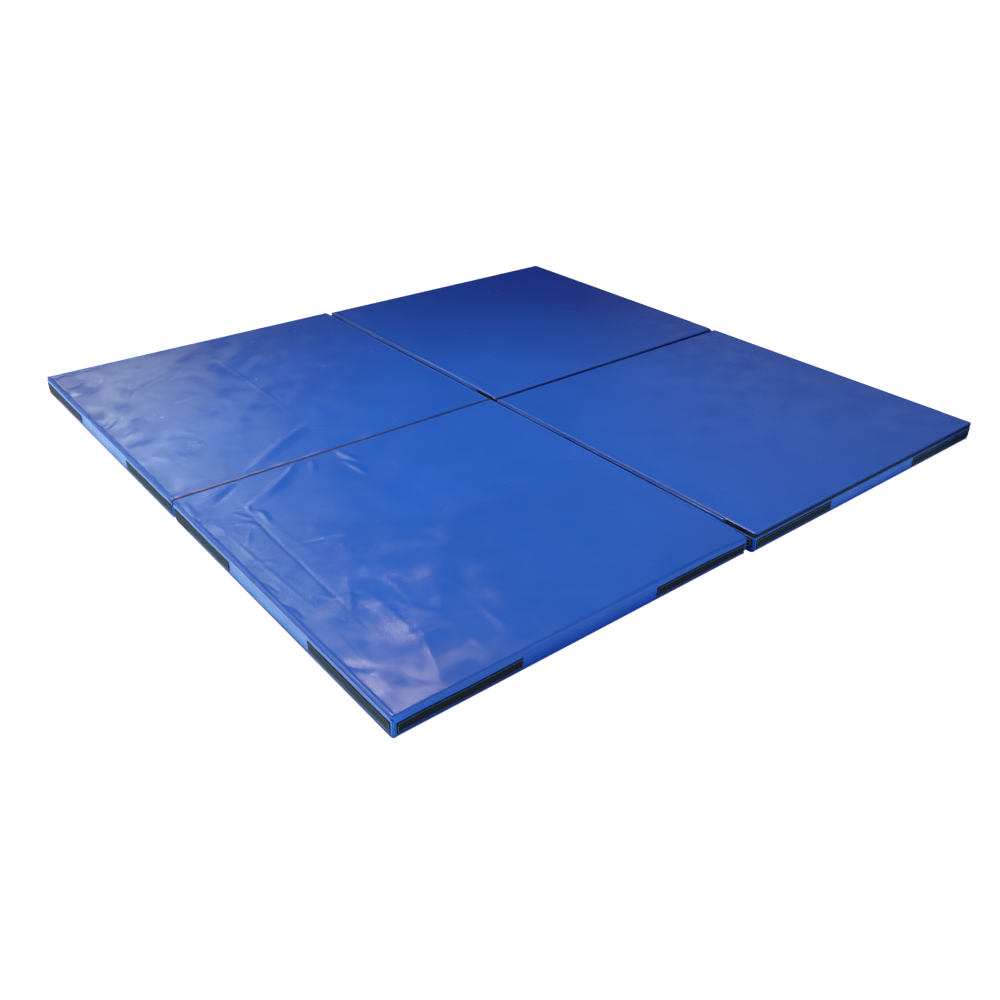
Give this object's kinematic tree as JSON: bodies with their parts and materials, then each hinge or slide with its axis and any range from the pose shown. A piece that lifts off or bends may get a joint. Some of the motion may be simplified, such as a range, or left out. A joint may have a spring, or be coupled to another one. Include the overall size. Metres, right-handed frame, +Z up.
{
  "type": "folding gym mat",
  "caption": "Bi-fold foam gym mats in zipped coated-fabric covers, joined side by side by hook-and-loop strips into one square floor.",
  "frame": {"origin": "on the floor, under the middle of the overall box of the two mats", "axes": "+Z up; +X across the two mats, from the left one to the right one; +Y along the length of each mat, square to its fold line"},
  "size_m": [2.023, 1.969, 0.057],
  "materials": {
    "cover_blue": "satin",
    "foam": "matte",
    "loop_tape": "matte",
    "hook_tape": "matte",
    "zip_tape": "matte",
    "zip_chain": "satin",
    "zip_stop": "satin",
    "zip_slider": "satin"
  },
  "bodies": {
    "right_near": {"right_near_foam_core": "foam", "right_near_fold_face_sheet": "cover_blue", "right_near_plain_face_sheet": "cover_blue", "right_near_side_band": "cover_blue", "right_near_loop_strips": "loop_tape", "right_near_hook_strips": "hook_tape", "right_near_zip_tapes": "zip_tape", "right_near_zip_chain": "zip_chain", "right_near_zip_stops": "zip_stop"},
    "right_near_slider": {"right_near_zip_slider": "zip_slider"},
    "right_near_pull": {"right_near_zip_pull": "zip_slider"},
    "right_far": {"right_far_foam_core": "foam", "right_far_fold_face_sheet": "cover_blue", "right_far_plain_face_sheet": "cover_blue", "right_far_side_band": "cover_blue", "right_far_loop_strips": "loop_tape", "right_far_hook_strips": "hook_tape", "right_far_zip_tapes": "zip_tape", "right_far_zip_chain": "zip_chain", "right_far_zip_stops": "zip_stop"},
    "right_far_slider": {"right_far_zip_slider": "zip_slider"},
    "right_far_pull": {"right_far_zip_pull": "zip_slider"},
    "left_near": {"left_near_foam_core": "foam", "left_near_fold_face_sheet": "cover_blue", "left_near_plain_face_sheet": "cover_blue", "left_near_side_band": "cover_blue", "left_near_loop_strips": "loop_tape", "left_near_hook_strips": "hook_tape", "left_near_zip_tapes": "zip_tape", "left_near_zip_chain": "zip_chain", "left_near_zip_stops": "zip_stop"},
    "left_near_slider": {"left_near_zip_slider": "zip_slider"},
    "left_near_pull": {"left_near_zip_pull": "zip_slider"},
    "left_far": {"left_far_foam_core": "foam", "left_far_fold_face_sheet": "cover_blue", "left_far_plain_face_sheet": "cover_blue", "left_far_side_band": "cover_blue", "left_far_loop_strips": "loop_tape", "left_far_hook_strips": "hook_tape", "left_far_zip_tapes": "zip_tape", "left_far_zip_chain": "zip_chain", "left_far_zip_stops": "zip_stop"},
    "left_far_slider": {"left_far_zip_slider": "zip_slider"},
    "left_far_pull": {"left_far_zip_pull": "zip_slider"}
  },
  "joints": [
    {"name": "right_fold", "type": "hinge", "parent": "right_near", "child": "right_far", "pos_m": [0.5065, -0.005, 0.0575], "axis": [1, 0, 0], "range_deg": [0, 180]},
    {"name": "left_lift", "type": "hinge", "parent": "right_near", "child": "left_near", "pos_m": [-0.5095, -0.9745, 0], "axis": [1, 0, 0], "range_deg": [0, 90]},
    {"name": "left_fold", "type": "hinge", "parent": "left_near", "child": "left_far", "pos_m": [-0.5095, 0.005, -0.0005], "axis": [-1, 0, 0], "range_deg": [0, 180]},
    {"name": "right_near_zip", "type": "slide", "parent": "right_near", "child": "right_near_slider", "axis": [0, -1, 0], "range_m": [0, 0.06]},
    {"name": "right_far_zip", "type": "slide", "parent": "right_far", "child": "right_far_slider", "axis": [0, -1, 0], "range_m": [0, 0.06]},
    {"name": "left_near_zip", "type": "slide", "parent": "left_near", "child": "left_near_slider", "axis": [0, 1, 0], "range_m": [0, 0.06]},
    {"name": "left_far_zip", "type": "slide", "parent": "left_far", "child": "left_far_slider", "axis": [0, 1, 0], "range_m": [0, 0.06]},
    {"name": "right_near_pull_swing", "type": "hinge", "parent": "right_near_slider", "child": "right_near_pull", "pos_m": [1.0102, -0.9025, 0.0485], "axis": [0, 0, -1], "range_deg": [0, 180]},
    {"name": "right_far_pull_swing", "type": "hinge", "parent": "right_far_slider", "child": "right_far_pull", "pos_m": [1.0102, 0.0775, 0.0485], "axis": [0, 0, -1], "range_deg": [0, 180]},
    {"name": "left_near_pull_swing", "type": "hinge", "parent": "left_near_slider", "child": "left_near_pull", "pos_m": [-0.0058, -0.0775, 0.0085], "axis": [0, 0, 1], "range_deg": [0, 15]},
    {"name": "left_far_pull_swing", "type": "hinge", "parent": "left_far_slider", "child": "left_far_pull", "pos_m": [-0.0058, 0.9025, 0.0085], "axis": [0, 0, 1], "range_deg": [0, 15]}
  ],
  "couplings": [
    {"joint": "left_fold", "follows": "left_lift", "ratio": 2}
  ]
}
